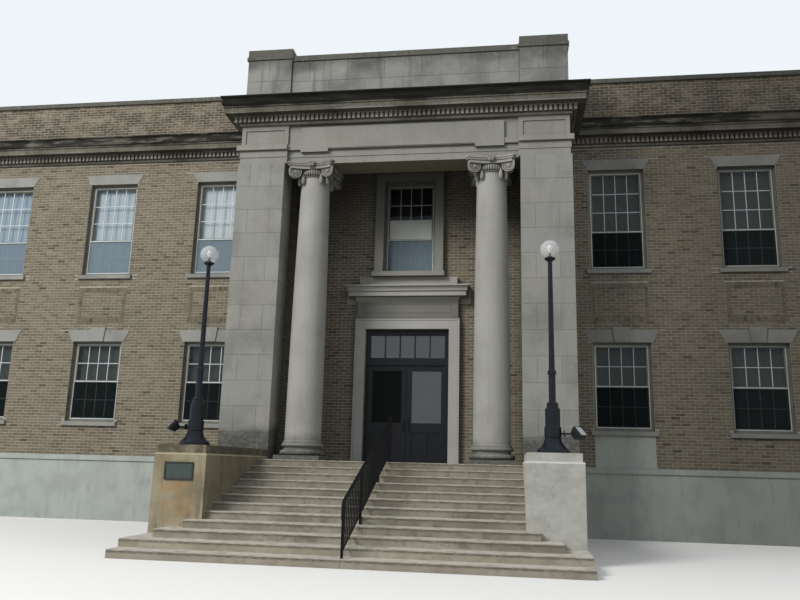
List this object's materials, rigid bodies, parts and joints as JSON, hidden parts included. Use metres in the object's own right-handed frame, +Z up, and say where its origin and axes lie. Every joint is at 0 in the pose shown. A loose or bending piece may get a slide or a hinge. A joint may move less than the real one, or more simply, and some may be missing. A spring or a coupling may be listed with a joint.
{
  "type": "town hall building",
  "caption": "Two-storey brick town hall with a stone portico of two columns between piers, entrance steps, a double door and sash windows.",
  "frame": {"origin": "on the ground, on the centre line of the portico, in the plane of the front brick wall", "axes": "+X along the front to the right as seen from the street, +Y into the building, +Z up"},
  "size_m": [25.64, 18.833, 10.818],
  "materials": {
    "brick": "rough",
    "limestone": "honed, weathered",
    "concrete": "worn",
    "cheek_concrete": "painted and stained",
    "painted_plinth": "painted",
    "floor_concrete": "plain",
    "roof_membrane": "matt",
    "plaster": "matt",
    "window_paint": "painted",
    "window_glass": "clear",
    "door_paint": "satin paint",
    "post_iron": "satin paint",
    "globe_glass": "clear",
    "lamp_housing": "satin"
  },
  "bodies": {
    "building": {"apron_panel": "painted_plinth", "architrave": "limestone", "architrave_ends": "limestone", "attic_coping": "limestone", "attic_pedestal_caps": "limestone", "attic_pedestals": "limestone", "attic_walls": "limestone", "back_plinth": "painted_plinth", "back_wall": "brick", "centre_window_surround": "limestone", "cheek_walls": "cheek_concrete", "column_bases": "limestone", "column_capitals": "limestone", "column_shafts": "limestone", "door_frame": "door_paint", "door_hood": "limestone", "door_surround": "limestone", "entrance_steps": "concrete", "floodlights": "lamp_housing", "frieze": "limestone", "frieze_ends": "limestone", "frieze_tablet": "limestone", "front_plinth": "painted_plinth", "front_wing_walls": "brick", "ground_floor": "floor_concrete", "handrail": "post_iron", "lamp_globes": "globe_glass", "lamp_posts": "post_iron", "lower_window_frames": "window_paint", "lower_window_glass": "window_glass", "parapet_coping": "limestone", "pilasters": "limestone", "porch_base": "concrete", "porch_ceiling": "plaster", "porch_cornice": "limestone", "porch_roof": "roof_membrane", "porch_side_walls": "brick", "roof_deck": "roof_membrane", "side_plinths": "painted_plinth", "side_walls": "brick", "transom_glass": "window_glass", "upper_floor": "floor_concrete", "upper_window_frames": "window_paint", "upper_window_glass": "window_glass", "wall_over_door": "brick", "walls_beside_door": "brick", "window_lintels": "limestone", "window_sills": "limestone", "wing_cornices": "limestone"},
    "left_door": {"left_door_leaf": "door_paint", "left_door_glass": "window_glass"},
    "right_door": {"right_door_leaf": "door_paint", "right_door_glass": "window_glass"}
  },
  "joints": [
    {"name": "left_door_swing", "type": "hinge", "parent": "building", "child": "left_door", "pos_m": [-0.909, 0.045, 2.58], "axis": [0, 0, -1], "range_deg": [0, 90]},
    {"name": "right_door_swing", "type": "hinge", "parent": "building", "child": "right_door", "pos_m": [0.909, 0.045, 2.58], "axis": [0, 0, 1], "range_deg": [0, 90]}
  ]
}
